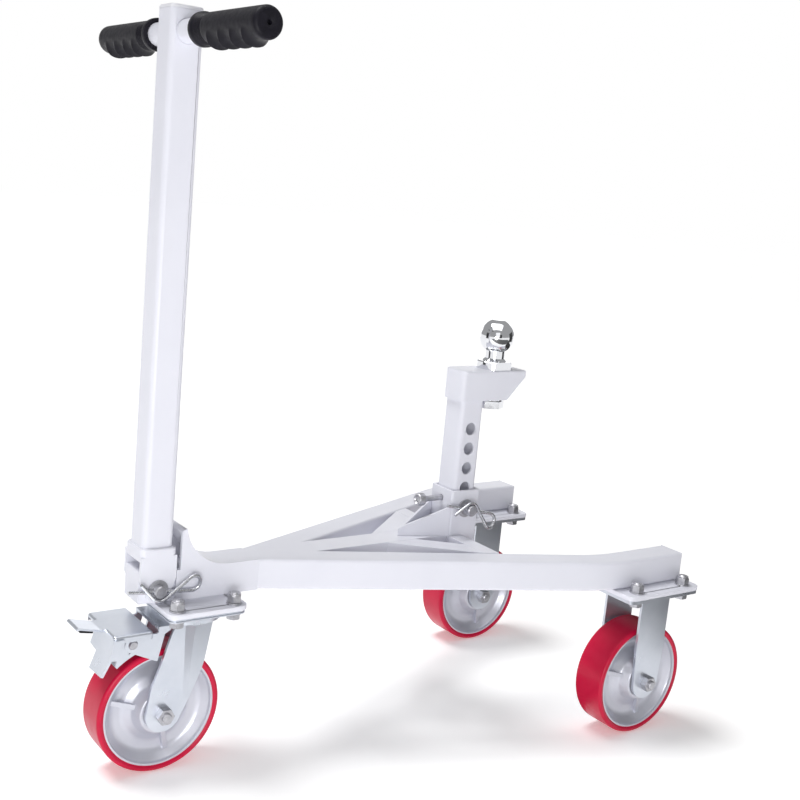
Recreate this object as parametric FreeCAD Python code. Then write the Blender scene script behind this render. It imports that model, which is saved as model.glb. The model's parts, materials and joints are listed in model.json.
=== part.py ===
"""Three-caster trailer dolly with a tilting T-handle and a height-adjustable hitch ball.

Millimetres. +X runs from the handle to the hitch ball, +Y to the left of that, +Z up, and
the floor is Z = 0. Lengths along X are laid out from the front caster's swivel axis, and
save() then moves every piece so that the origin is the middle of the footprint.
"""
import FreeCAD, Part
import math
import os

V = FreeCAD.Vector

# ---------------------------------------------------------------- driving dimensions
WHEEL_R = 80.0            # rolling radius of all three wheels
TREAD_W = 50.0
RIM_R = 72.0              # radius where the tread is bonded to the core
HUB_W = 58.0
RIB_ANGLES = (45, 165, 285)
RIB_T = 6.0
TRAIL = 38.0              # swivel axis to front axle
REAR_X = 617.0            # rear axle line
REAR_Y = 185.0            # rear wheels stand this far either side of the middle

TUBE = 40.0               # square tube of the frame, the column and the post
TUBE_R = 4.0              # corner radius of the frame tubes
UPRIGHT_R = 7.0           # corner radius of the column and the post
FRAME_Z0 = 221.0          # underside of the frame tubes
FRAME_Z1 = FRAME_Z0 + TUBE
SPINE_X0 = -73.0
NECK_Y = 24.8             # half width over the neck plates and the foot's cheeks
NECK_X0 = -26.4
NECK_X1 = 86.5
NECK_TOP = 311.0
NECK_ARC_R = 60.0

ARM_X0 = 78.0             # where the arm centre lines would meet the middle
ARM_ANGLE = math.atan(0.4)
ARM_END_X = 675.0
ARM_BEND_R = 180.0
ARM_WALL = 3.0

PAD_T = 6.0
PLATE_T = 5.0
PAD_L = 140.0
PAD_W = 105.0
HOLE_L = 92.0             # bolt pattern of the rear casters
FRONT_HOLE_L = 112.0      # the front caster's pattern is longer
HOLE_W = 75.0
BOLT_R = 5.0              # M10
NUT_AF = 16.0
NUT_H = 11.5
WASHER_T = 2.0

PIVOT_X = -50.0           # handle pin, also the column's centre line
PIVOT_Z = 238.0
PIN_R = 8.0
PIN_GAP = 0.3
COLUMN_TOP = 910.0
COLUMN_Z0 = 278.0
BAR_Z = 886.0
BAR_R = 13.5
BAR_HALF = 198.0
GRIP_IN = 58.0
GRIP_OUT = 206.0
GRIP_R = 17.0

POST_X = 414.0
SOCKET_OUT = 50.0
SOCKET_IN = 41.0
SOCKET_TOP = 326.0
PIN_Z = 300.0             # post pin
HOLE_PITCH = 28.5
POST_HOLE_R = 8.7
POST_Z0 = 226.0
HEAD_Z0 = 454.0
HEAD_Z1 = 497.0
BALL_X = 460.0
BALL_R = 25.0             # 50 mm ball
BALL_Z = 543.0
SHANK_R = 12.5
BALL_NUT_Z0 = 440.5
BALL_NUT_Z1 = 451.0

LEG_IN = 31.0             # fork legs, inner and outer face from the wheel's middle
LEG_OUT = 35.0
AXLE_R = 6.0              # M12
CLIP_WIRE_R = 2.3

RIVET_X = -82.0           # brake pivot
RIVET_Z = 177.0
PEDAL_TIP_X = -147.5
PEDAL_X0 = -110.0
PEDAL_X1 = -60.0
PEDAL_FLOOR = 190.0       # underside of the pedal's plate
PLATE_LEAN = 13.0         # degrees
SHOE_GAP = 5.5

MIDDLE_X = (PEDAL_TIP_X + REAR_X + WHEEL_R) / 2

os.makedirs("parts", exist_ok=True)


# ---------------------------------------------------------------- helpers
def save(name, *solids):
    shape = solids[0] if len(solids) == 1 else Part.makeCompound(list(solids))
    shape.translate(V(-MIDDLE_X, 0, 0))
    shape.exportStep("parts/" + name + ".step")


def box(x0, x1, y0, y1, z0, z1):
    return Part.makeBox(x1 - x0, y1 - y0, z1 - z0, V(x0, y0, z0))


def cyl_y(x, z, y0, y1, r):
    return Part.makeCylinder(r, y1 - y0, V(x, y0, z), V(0, 1, 0))


def cyl_z(x, y, z0, z1, r):
    return Part.makeCylinder(r, z1 - z0, V(x, y, z0), V(0, 0, 1))


def cyl_x(y, z, x0, x1, r):
    return Part.makeCylinder(r, x1 - x0, V(x0, y, z), V(1, 0, 0))


def joined(first, *others):
    shape = first
    for other in others:
        shape = shape.fuse(other)
    return shape.removeSplitter()


def rounded_wire(points, place):
    """Closed wire through (u, v, radius) corners, each radius a tangent arc."""
    edges = []
    corners = []
    count = len(points)
    for i, (u, v, r) in enumerate(points):
        here = V(u, v, 0)
        before = V(points[i - 1][0], points[i - 1][1], 0)
        after = V(points[(i + 1) % count][0], points[(i + 1) % count][1], 0)
        if r <= 0:
            corners.append((here, None, here))
            continue
        a = (before - here).normalize()
        b = (after - here).normalize()
        half = a.getAngle(b) / 2
        reach = r / math.tan(half)
        middle = (a + b).normalize()
        centre = here + middle * (r / math.sin(half))
        corners.append((here + a * reach, centre - middle * r, here + b * reach))
    for i, (start, mid, end) in enumerate(corners):
        if mid is not None:
            edges.append(Part.Arc(place(start), place(mid), place(end)).toShape())
        following = corners[(i + 1) % count][0]
        if (following - end).Length > 1e-6:
            edges.append(Part.LineSegment(place(end), place(following)).toShape())
    return Part.Wire(Part.__sortEdges__(edges))


def prism_y(points, y0, y1):
    """Side profile of (x, z, radius) corners, extruded from y0 to y1."""
    wire = rounded_wire(points, lambda p: V(p.x, y0, p.y))
    return Part.Face(wire).extrude(V(0, y1 - y0, 0))


def prism_z(points, z0, z1):
    """Plan profile of (x, y, radius) corners, extruded from z0 to z1."""
    wire = rounded_wire(points, lambda p: V(p.x, p.y, z0))
    return Part.Face(wire).extrude(V(0, 0, z1 - z0))


def rectangle(x0, x1, y0, y1, r):
    return [(x0, y0, r), (x1, y0, r), (x1, y1, r), (x0, y1, r)]


def turned_z(points, x, y):
    """Solid of revolution about a vertical axis from (radius, z, fillet) corners."""
    wire = rounded_wire(points, lambda p: V(x + p.x, y, p.y))
    return Part.Face(wire).revolve(V(x, y, 0), V(0, 0, 1), 360)


def turned_y(points, x, z):
    """Solid of revolution about an axis along Y from (radius, y, fillet) corners."""
    wire = rounded_wire(points, lambda p: V(x + p.x, p.y, z))
    return Part.Face(wire).revolve(V(x, 0, z), V(0, 1, 0), 360)


def square_tube_z(x, y, z0, z1, outer, inner, r):
    h = outer / 2
    k = inner / 2
    shell = prism_z(rectangle(x - h, x + h, y - h, y + h, r), z0, z1)
    bore = prism_z(rectangle(x - k, x + k, y - k, y + k, max(r - 2.5, 0.8)), z0 - 1, z1 + 1)
    return shell.cut(bore)


def hexagon(across_flats, turn):
    r = across_flats / math.sqrt(3)
    return [(r * math.cos(math.radians(60 * i + turn)), r * math.sin(math.radians(60 * i + turn)))
            for i in range(6)]


def hex_z(x, y, z0, z1, across_flats, turn=0.0):
    """Hexagonal prism with its corners turned down to a cone at both ends."""
    corners = [(x + u, y + v, 0) for u, v in hexagon(across_flats, turn)]
    blank = prism_z(corners, z0, z1)
    r = across_flats / math.sqrt(3)
    c = 0.9
    mill = turned_z([(0, z0, 0), (r - c, z0, 0), (r + 0.3, z0 + c, 0), (r + 0.3, z1 - c, 0),
                     (r - c, z1, 0), (0, z1, 0)], x, y)
    return blank.common(mill)


def hex_y(x, z, y0, y1, across_flats):
    """The same hexagonal prism, lying along Y."""
    shape = hex_z(0, 0, 0, y1 - y0, across_flats)
    shape.rotate(V(0, 0, 0), V(1, 0, 0), -90)
    shape.translate(V(x, y0, z))
    return shape


def ring_z(x, y, z0, z1, outer, inner):
    return cyl_z(x, y, z0, z1, outer).cut(cyl_z(x, y, z0 - 1, z1 + 1, inner))


def ring_y(x, z, y0, y1, outer, inner):
    return cyl_y(x, z, y0, y1, outer).cut(cyl_y(x, z, y0 - 1, y1 + 1, inner))


def mirrored(shape):
    return shape.mirror(V(0, 0, 0), V(0, 1, 0))


def soften(shape, radius, wanted):
    """Fillet the edges for which wanted(edge) is true."""
    edges = [e for e in shape.Edges if wanted(e)]
    return shape.makeFillet(radius, edges)


# ---------------------------------------------------------------- frame
def spine():
    h = TUBE / 2
    outline = prism_y([(SPINE_X0, FRAME_Z0, 2), (POST_X - SOCKET_OUT / 2, FRAME_Z0, 0),
                       (POST_X - SOCKET_OUT / 2, FRAME_Z1, 0), (SPINE_X0, FRAME_Z1, 2)], -h, h)
    hollow = box(SPINE_X0 + 6, POST_X - SOCKET_OUT / 2 - 6, -h + 4, h - 4, FRAME_Z0 + 4, FRAME_Z1 - 4)
    bore = cyl_y(PIVOT_X, PIVOT_Z, -h - 1, h + 1, PIN_R + PIN_GAP)
    return outline.cut(hollow).cut(bore)


def spine_block():
    return box(SPINE_X0, POST_X, -TUBE / 2, TUBE / 2, FRAME_Z0, FRAME_Z1)


def neck_outline(grow):
    """Concave saddle between the neck's upright lip and the frame's top face."""
    centre_x = 44.0
    centre_z = FRAME_Z1 + NECK_ARC_R
    r = NECK_ARC_R + grow
    top = NECK_TOP - grow
    low = FRAME_Z1
    top_x = centre_x - math.sqrt(r * r - (centre_z - top) ** 2)
    low_x = centre_x - math.sqrt(max(r * r - (centre_z - low) ** 2, 0.0))
    middle = math.radians(212)
    arc_mid = V(centre_x + r * math.cos(middle), 0, centre_z + r * math.sin(middle))
    return V(top_x, 0, top), arc_mid, V(low_x, 0, low)


def neck():
    lip = -21.5
    start, mid, end = neck_outline(0.0)
    corner = 5.0
    path = [V(NECK_X0, 0, FRAME_Z0), V(NECK_X0, 0, FRAME_Z1 - 0.4), V(lip, 0, FRAME_Z1 - 0.4),
            V(lip, 0, NECK_TOP - corner)]
    edges = [Part.LineSegment(a, b).toShape() for a, b in zip(path, path[1:])]
    bulge = corner * (1 - math.sqrt(0.5))
    round_mid = V(lip + bulge, 0, NECK_TOP - bulge)
    edges.append(Part.Arc(path[-1], round_mid, V(lip + corner, 0, NECK_TOP)).toShape())
    edges.append(Part.LineSegment(V(lip + corner, 0, NECK_TOP), start).toShape())
    edges.append(Part.Arc(start, mid, end).toShape())
    rest = [end, V(NECK_X1, 0, FRAME_Z1), V(NECK_X1, 0, FRAME_Z0), path[0]]
    edges += [Part.LineSegment(a, b).toShape() for a, b in zip(rest, rest[1:])]
    face = Part.Face(Part.Wire(edges))
    face.translate(V(0, -NECK_Y, 0))
    body = face.extrude(V(0, 2 * NECK_Y, 0))
    wall = NECK_Y - TUBE / 2
    a, m, b = neck_outline(wall)
    inside = [V(lip - 2, 0, FRAME_Z1), V(lip - 2, 0, a.z), a]
    hollow_edges = [Part.LineSegment(p, q).toShape() for p, q in zip(inside, inside[1:])]
    hollow_edges.append(Part.Arc(a, m, b).toShape())
    hollow_edges.append(Part.LineSegment(b, inside[0]).toShape())
    hollow_face = Part.Face(Part.Wire(hollow_edges))
    hollow_face.translate(V(0, -TUBE / 2, 0))
    hollow = hollow_face.extrude(V(0, TUBE, 0))
    return body.cut(spine_block()).cut(hollow)


def arm_face(half, z, trim):
    """Plan of one arm, half wide either side of its centre line, bent to run along X."""
    bend = V(ARM_X0 + REAR_Y / math.tan(ARM_ANGLE), REAR_Y, z)
    reach = ARM_BEND_R * math.tan(ARM_ANGLE / 2)
    along = V(math.cos(ARM_ANGLE), math.sin(ARM_ANGLE), 0)
    normal = V(-math.sin(ARM_ANGLE), math.cos(ARM_ANGLE), 0)
    first = V(ARM_X0, 0, z)
    turn_in = bend - along * reach
    turn_out = bend + V(reach, 0, 0)
    centre = turn_out - V(0, ARM_BEND_R, 0)
    half_turn = math.pi / 2 + ARM_ANGLE / 2
    end_x = ARM_END_X - trim

    def side(offset):
        r = ARM_BEND_R + offset
        mid = centre + V(r * math.cos(half_turn), r * math.sin(half_turn), 0)
        return (first + normal * offset, turn_in + normal * offset, mid,
                turn_out + V(0, offset, 0), V(end_x, REAR_Y + offset, z))

    edges = []
    outer = side(half)
    inner = side(-half)
    for a, b, m, c, d in (outer, inner):
        edges.append(Part.LineSegment(a, b).toShape())
        edges.append(Part.Arc(b, m, c).toShape())
        edges.append(Part.LineSegment(c, d).toShape())
    edges.append(Part.LineSegment(outer[4], inner[4]).toShape())
    edges.append(Part.LineSegment(outer[0], inner[0]).toShape())
    return Part.Face(Part.Wire(Part.__sortEdges__(edges)))


def arm():
    outer = arm_face(TUBE / 2, FRAME_Z0, 0).extrude(V(0, 0, TUBE))
    outer = soften(outer, TUBE_R, lambda e: abs(e.BoundBox.ZLength) < 0.01 and e.Length > TUBE + 1)
    inner = arm_face(TUBE / 2 - ARM_WALL, FRAME_Z0 + ARM_WALL, -1).extrude(V(0, 0, TUBE - 2 * ARM_WALL))
    neck_plate = box(ARM_X0 - 60, NECK_X1, -NECK_Y, NECK_Y, FRAME_Z0 - 1, FRAME_Z1 + 1)
    middle = box(ARM_X0 - 60, ARM_X0 + 200, -60, TUBE / 2, FRAME_Z0 - 1, FRAME_Z1 + 1)
    return outer.cut(inner).cut(middle).cut(neck_plate)


def arm_cap():
    """Plug in the open rear end of an arm."""
    h = TUBE / 2
    k = h - ARM_WALL
    plate = prism_z(rectangle(ARM_END_X, ARM_END_X + 2, REAR_Y - h, REAR_Y + h, 0), FRAME_Z0, FRAME_Z1)
    plate = soften(plate, 1.2, lambda e: e.CenterOfMass.x > ARM_END_X + 1.9)
    plug = box(ARM_END_X - 12, ARM_END_X, REAR_Y - k, REAR_Y + k, FRAME_Z0 + ARM_WALL, FRAME_Z1 - ARM_WALL)
    return joined(plate, plug)


def arm_inner_y(x):
    """Distance from the middle to an arm's inner side at x."""
    return (x - ARM_X0) * math.tan(ARM_ANGLE) - TUBE / 2 / math.cos(ARM_ANGLE)


CROSS_X0 = POST_X - SOCKET_OUT / 2
CROSS_X1 = 411.0
BRACE_X0 = 287.0
BRACE_X1 = 334.4
BRACE_SLOPE = 0.818


def tubular(points, wall_points):
    return prism_z(points, FRAME_Z0, FRAME_Z1).cut(prism_z(wall_points, FRAME_Z0 + 3, FRAME_Z1 - 3))


def brace():
    """Diagonal tube from the spine to the corner of an arm and the cross tube."""
    h = TUBE / 2
    meet_x = (BRACE_X0 * BRACE_SLOPE - h + arm_inner_y(0)) / (BRACE_SLOPE - math.tan(ARM_ANGLE))
    meet_y = arm_inner_y(meet_x)
    far_y = h + (CROSS_X0 - BRACE_X1) * BRACE_SLOPE
    outside = [(BRACE_X0, h, 0), (BRACE_X1, h, 0), (CROSS_X0, far_y, 0),
               (CROSS_X0, arm_inner_y(CROSS_X0), 0), (meet_x, meet_y, 0)]
    wall = ARM_WALL * math.hypot(1, BRACE_SLOPE)
    start_y = h + ARM_WALL
    end_x = CROSS_X0 - 4
    inside = [(BRACE_X0 + (ARM_WALL + wall) / BRACE_SLOPE, start_y, 0),
              (BRACE_X1 + (ARM_WALL - wall) / BRACE_SLOPE, start_y, 0),
              (end_x, h + (end_x - BRACE_X1) * BRACE_SLOPE + wall, 0),
              (end_x, h + (end_x - BRACE_X0) * BRACE_SLOPE - wall, 0)]
    return tubular(outside, inside)


def cross_tube():
    y0 = SOCKET_OUT / 2
    a = arm_inner_y(CROSS_X0)
    b = arm_inner_y(CROSS_X1)
    outside = [(CROSS_X0, y0, 0), (CROSS_X1, y0, 0), (CROSS_X1, b, 0), (CROSS_X0, a, 0)]
    inside = [(CROSS_X0 + 3, y0 + 2, 0), (CROSS_X1 - 3, y0 + 2, 0), (CROSS_X1 - 3, b - 4, 0),
              (CROSS_X0 + 3, a - 4, 0)]
    return tubular(outside, inside)


def socket():
    shell = square_tube_z(POST_X, 0, FRAME_Z0, SOCKET_TOP, SOCKET_OUT, SOCKET_IN, 4.0)
    half = SOCKET_OUT / 2 + 1
    shell = shell.cut(cyl_y(POST_X, PIN_Z, -half, half, PIN_R + PIN_GAP))
    return shell.cut(cyl_x(0, SCREW_Z, POST_X - half, POST_X, SCREW_R + 0.3))


def gussets():
    """Two upright wings that spread from the spine's middle to the socket's front corners."""
    tip_x = 318.0
    corner_x = POST_X - SOCKET_OUT / 2
    corner_y = SOCKET_OUT / 2 - 0.5
    spread = math.atan2(corner_y, corner_x - tip_x)
    length = math.hypot(corner_y, corner_x - tip_x)
    wing = prism_y([(0, FRAME_Z1, 0), (length, FRAME_Z1, 0), (length, 304, 0), (0, FRAME_Z1 + 11, 0)], 0, 4)
    wing.rotate(V(0, 0, 0), V(0, 0, 1), -math.degrees(spread))
    wing.translate(V(tip_x, 0, 0))
    wing = wing.cut(box(corner_x, corner_x + 10, -40, 40, FRAME_Z1 - 1, 320))
    wing = wing.cut(box(tip_x - 10, corner_x, 0, 20, FRAME_Z1 - 1, 320))
    return wing, mirrored(wing)


def pad(x, y, along_x, z0, thick, length, width, r):
    """Caster mounting plate with its four bolt holes."""
    hx, hy = (length / 2, width / 2) if along_x else (width / 2, length / 2)
    plate = prism_z(rectangle(x - hx, x + hx, y - hy, y + hy, r), z0, z0 + thick)
    for bx, by in bolt_places(x, y, along_x):
        plate = plate.cut(cyl_z(bx, by, z0 - 1, z0 + thick + 1, BOLT_R + 0.5))
    return plate


def bolt_places(x, y, along_x):
    dx, dy = (HOLE_L / 2, HOLE_W / 2) if along_x else (HOLE_W / 2, FRONT_HOLE_L / 2)
    return [(x + sx * dx, y + sy * dy) for sx in (-1, 1) for sy in (-1, 1)]


PAD_Z0 = FRAME_Z0 - PAD_T
PLATE_Z0 = PAD_Z0 - PLATE_T
CASTERS = ((0.0, 0.0, False), (REAR_X, -REAR_Y, True), (REAR_X, REAR_Y, True))
SCREW_Z = 311.0
SCREW_R = 4.0


def mount_bolt(x, y):
    head_top = PLATE_Z0 - WASHER_T
    top = FRAME_Z0 + WASHER_T + NUT_H + 1
    head = hex_z(x, y, head_top - 6.4, head_top, NUT_AF)
    shank = turned_z([(0, head_top - 1, 0), (BOLT_R, head_top - 1, 0), (BOLT_R, top - 1, 0),
                      (BOLT_R - 1, top, 0), (0, top, 0)], x, y)
    return joined(head, shank)


def mount_washers(x, y):
    upper = ring_z(x, y, FRAME_Z0, FRAME_Z0 + WASHER_T, 10.0, BOLT_R + 0.3)
    lower = ring_z(x, y, PLATE_Z0 - WASHER_T, PLATE_Z0, 10.0, BOLT_R + 0.3)
    return [upper, lower]


def mount_nut(x, y):
    """Lock nut: a hexagon with a round collar on top."""
    z0 = FRAME_Z0 + WASHER_T
    z1 = z0 + NUT_H
    body = hex_z(x, y, z0, z1 - 2.5, NUT_AF)
    collar = turned_z([(0, z1 - 3.5, 0), (7.8, z1 - 3.5, 0), (7.8, z1, 0.7), (0, z1, 0)], x, y)
    return joined(body, collar).cut(cyl_z(x, y, z0 - 1, z1 + 1, BOLT_R))


# ---------------------------------------------------------------- casters
def rear_fork(y):
    """Rigid caster: top plate, U-shaped web and two legs, welded into one piece."""
    plate = pad(REAR_X, y, True, PLATE_Z0, PLATE_T, PAD_L - 4, PAD_W - 3, 8)
    half = 27.5
    web = box(REAR_X - half, REAR_X + half, y - LEG_OUT, y + LEG_OUT, PLATE_Z0 - 4, PLATE_Z0)
    r = 24.0
    leg = prism_y([(REAR_X - half, PLATE_Z0, 0), (REAR_X - half, 130, 60), (REAR_X - r, WHEEL_R, 0),
                   (REAR_X + r, WHEEL_R, 0), (REAR_X + half, 130, 60), (REAR_X + half, PLATE_Z0, 0)],
                  y - LEG_OUT, y + LEG_OUT)
    leg = joined(leg, cyl_y(REAR_X, WHEEL_R, y - LEG_OUT, y + LEG_OUT, r))
    leg = leg.cut(box(REAR_X - 60, REAR_X + 60, y - LEG_IN, y + LEG_IN, 0, PLATE_Z0 - 4))
    bore = cyl_y(REAR_X, WHEEL_R, y - LEG_OUT - 1, y + LEG_OUT + 1, AXLE_R + 0.1)
    return joined(plate, web, leg).cut(bore)


def swivel_plate():
    """Top plate of the front caster, two pressings thick, with the upper ball race underneath."""
    plate = pad(0, 0, False, PLATE_Z0, PLATE_T, PAD_L - 4, PAD_W - 3, 10)
    race = ring_z(0, 0, RACE_TOP, PLATE_Z0, 42.0, 29.0)
    groove = Part.makeTorus(BALL_PITCH_R, 3.8, V(0, 0, BALL_ROW_Z))
    seat = turned_z([(0, PLATE_Z0 - 1, 0), (AXLE_R, PLATE_Z0 - 1, 0), (AXLE_R, PAD_Z0 - 5, 0),
                     (11, PAD_Z0, 0), (11, PAD_Z0 + 1, 0), (0, PAD_Z0 + 1, 0)], 0, 0)
    seam = prism_z(rectangle(-PAD_W / 2, PAD_W / 2, -PAD_L / 2, PAD_L / 2, 0), PLATE_Z0 + 2, PLATE_Z0 + 2.8)
    kept = prism_z(rectangle(3 - PAD_W / 2, PAD_W / 2 - 3, 3.5 - PAD_L / 2, PAD_L / 2 - 3.5, 9),
                   PLATE_Z0 + 2, PLATE_Z0 + 2.8)
    return joined(plate, race).cut(groove).cut(seat).cut(seam.cut(kept))


RACE_TOP = 206.0
STEP_Z0 = 96.0            # the front strip of each leg is pressed inwards above this height
STEP_IN = 8.6             # by this much at the crown
CROWN_TOP = 200.8
CROWN_Z0 = 195.0
BALL_PITCH_R = 36.0
BALL_ROW_Z = 203.4
BALL_COUNT = 20


def race_balls():
    balls = []
    for i in range(BALL_COUNT):
        a = 2 * math.pi * i / BALL_COUNT
        balls.append(Part.makeSphere(3.5, V(BALL_PITCH_R * math.cos(a), BALL_PITCH_R * math.sin(a),
                                            BALL_ROW_Z)))
    return balls


def king_bolt():
    return turned_z([(0, 182, 0), (AXLE_R, 182, 0), (AXLE_R, PAD_Z0 - 5, 0), (11, PAD_Z0, 0), (0, PAD_Z0, 0)],
                    0, 0)


def stepped_block(face_y, back_y):
    """Everything between a leg's pressed face and the plane y = -back_y, up to the crown."""
    x0, x1 = (-100, 60) if back_y < face_y else (-16, 60)
    back = [(x1, -back_y), (x0, -back_y), (x0, -face_y)]
    top = back + [(-15.5, -face_y), (3.5, STEP_IN - face_y), (x1, STEP_IN - face_y)]
    low = back + [(-13, -face_y), (-9, 0.02 - face_y), (x1, 0.02 - face_y)]
    wires = []
    for outline, z in ((low, STEP_Z0), (top, CROWN_Z0)):
        corners = [V(x, y, z) for x, y in outline]
        wires.append(Part.makePolygon(corners + [corners[0]]))
    return Part.makeLoft(wires, True, True)


def swivel_fork():
    """Crown with the lower ball race and two raked legs."""
    crown = cyl_z(0, 0, CROWN_Z0, CROWN_TOP, 46.0)
    lip = ring_z(0, 0, CROWN_TOP - 1, 208.0, 46.0, 43.5)
    rake = [(-27, CROWN_Z0, 0), (27, CROWN_Z0, 0), (14, 135, 110), (-16.9, 70.8, 0), (-38, 62, 0),
            (-61, WHEEL_R, 0), (-56, 115, 60), (-43, 150, 150), (-33, 181, 60)]
    legs = prism_y(rake, -LEG_OUT, LEG_OUT)
    legs = joined(legs, cyl_y(-TRAIL, WHEEL_R, -LEG_OUT, LEG_OUT, 23.0))
    legs = legs.cut(box(-90, 60, -LEG_IN, LEG_IN, 0, STEP_Z0))
    inside = stepped_block(LEG_IN, 0)
    outside = stepped_block(LEG_OUT, LEG_OUT + 10)
    for tool in (inside, mirrored(inside), outside, mirrored(outside)):
        legs = legs.cut(tool)
    shape = joined(crown, lip, legs)
    shape = shape.cut(Part.makeTorus(BALL_PITCH_R, 3.8, V(0, 0, BALL_ROW_Z)))
    shape = shape.cut(cyl_z(0, 0, CROWN_Z0 - 1, CROWN_TOP + 1, AXLE_R + 0.5))
    return shape.cut(cyl_y(-TRAIL, WHEEL_R, -LEG_OUT - 1, LEG_OUT + 1, AXLE_R + 0.1))


def wheel_core(x, y):
    """Cast core: thin rim, bowl-shaped web, domed hub and three low ribs on each side."""
    h = HUB_W / 2
    bearing = 12.0
    half = [(20, h - bearing, 0), (20, h, 0), (27, h, 3), (34, 16, 7), (44, 9, 12), (58, 10, 14),
            (68.5, 20, 4), (69.5, 23.5, 0.8), (RIM_R, 23.5, 0)]
    other = [(r, -w, f) for r, w, f in reversed(half)]
    shape = turned_y(half + other + [(14, -h + bearing, 0), (14, h - bearing, 0)], 0, 0)
    for angle in RIB_ANGLES:
        for side in (-1, 1):
            rib = [V(28, side * 5, 0), V(63, side * 5, 0), V(63, side * 12.5, 0), V(29, side * 20.5, 0)]
            web = Part.Face(Part.makePolygon(rib + [rib[0]]))
            web.translate(V(0, 0, -RIB_T / 2))
            web = web.extrude(V(0, 0, RIB_T))
            web.rotate(V(0, 0, 0), V(0, 1, 0), -angle)
            shape = shape.fuse(web)
    shape = shape.removeSplitter()
    shape.translate(V(x, y, WHEEL_R))
    return shape


def tyre(x, y):
    h = TREAD_W / 2
    shape = turned_y([(RIM_R, -h + 1.5, 0), (75, -h, 2), (WHEEL_R, -h, 4), (WHEEL_R, h, 4), (75, h, 2),
                      (RIM_R, h - 1.5, 0)], 0, 0)
    shape.translate(V(x, y, WHEEL_R))
    return shape


def hub_bearings(x, y):
    h = HUB_W / 2
    rings = []
    for side in (-1, 1):
        y0, y1 = sorted((side * (h - 12), side * h))
        bearing = turned_y([(SLEEVE_R + 0.1, y0, 0), (20, y0, 0), (20, y1, 0.8), (SLEEVE_R + 0.1, y1, 0)],
                           0, 0)
        groove = ring_y(0, 0, side * h - 0.6, side * h + 0.6, 16.5, 12.5)
        bearing = bearing.cut(groove)
        bearing.translate(V(x, y, WHEEL_R))
        rings.append(bearing)
    return rings


SLEEVE_R = 8.5


def axle_sleeve(x, y):
    return ring_y(x, WHEEL_R, y - LEG_IN, y + LEG_IN, SLEEVE_R, AXLE_R + 0.1)


def axle_bolt(x, y):
    head = hex_y(x, WHEEL_R, y + LEG_OUT, y + LEG_OUT + 7.5, 19.0)
    shank = turned_y([(0, -LEG_OUT - 14, 0), (AXLE_R - 1, -LEG_OUT - 14, 0), (AXLE_R, -LEG_OUT - 13, 0),
                      (AXLE_R, LEG_OUT + 1, 0), (0, LEG_OUT + 1, 0)], 0, 0)
    shank.translate(V(x, y, WHEEL_R))
    return joined(head, shank)


def axle_nut(x, y):
    nut = hex_y(x, WHEEL_R, y - LEG_OUT - 10.5, y - LEG_OUT, 19.0)
    return nut.cut(cyl_y(x, WHEEL_R, y - LEG_OUT - 12, y - LEG_OUT + 1, AXLE_R))


# ---------------------------------------------------------------- brake
def brake_bracket():
    """Two side plates and a web that hang the brake from the crown."""
    profile = [(-34, CROWN_Z0, 0), (-50, CROWN_Z0, 0), (-50, 187, 2), (RIVET_X, 187, 0),
               (RIVET_X - 4.5, 168.1, 0), (-50, 151, 1.5), (-42, 185, 3), (-34, 190, 0)]
    body = prism_y(profile, -35, 35)
    body = joined(body, cyl_y(RIVET_X, RIVET_Z, -35, 35, 10))
    inside = box(-100, -20, -32, 32, 140, CROWN_Z0 - 4)
    opening = box(-100, -50, -32, 32, 140, CROWN_Z0 + 1)
    return body.cut(inside).cut(opening).cut(cyl_y(RIVET_X, RIVET_Z, -40, 40, 4))


def pivot_pin():
    shank = cyl_y(RIVET_X, RIVET_Z, -36, 36, 4)
    heads = [turned_y([(0, side * 35, 0), (6, side * 35, 0), (4.5, side * 37.5, 0), (0, side * 37.5, 0)],
                      RIVET_X, RIVET_Z) for side in (-1, 1)]
    return joined(shank, *heads)


def pedal():
    """Pressed foot pedal: a lipped plate, a rising tongue and two ears on the pivot."""
    half = 43.0
    plate = prism_z(rectangle(PEDAL_X0, PEDAL_X1, -half, half, 4), PEDAL_FLOOR - 5, PEDAL_FLOOR + 4)
    plate = soften(plate, 3.0, lambda e: e.CenterOfMass.z > PEDAL_FLOOR + 3.9)
    hollow = box(PEDAL_X0 - 9, PEDAL_X1 + 9, -half + 3, half - 3, PEDAL_FLOOR - 6, PEDAL_FLOOR)
    tongue = prism_y([(-104, 191, 0), (-104, 194, 0), (-116, 194, 12), (-143, 200.5, 2), (-147.5, 197.5, 1.5),
                      (-144, 196.5, 1), (-141, 197.2, 4), (-114, 191, 10)], -16, 16)
    ears = []
    for side in (-1, 1):
        y0, y1 = sorted((side * 25, side * 28))
        ear = prism_y([(-91, 191, 0), (-91, RIVET_Z, 0), (-73, RIVET_Z, 0), (-68, 191, 0)], y0, y1)
        ears.append(joined(ear, cyl_y(RIVET_X, RIVET_Z, y0, y1, 9)))
    shape = joined(plate.cut(hollow), tongue, *ears)
    return shape.cut(cyl_y(RIVET_X, RIVET_Z, -40, 40, 4.3))


def pedal_pad():
    """Rubber pad gripped under the tongue's tip."""
    return prism_y([(-141, 197.1, 0), (-124, 193.2, 0), (-124, 190.5, 1), (-141, 193.5, 1.5)], -14, 14)


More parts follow.
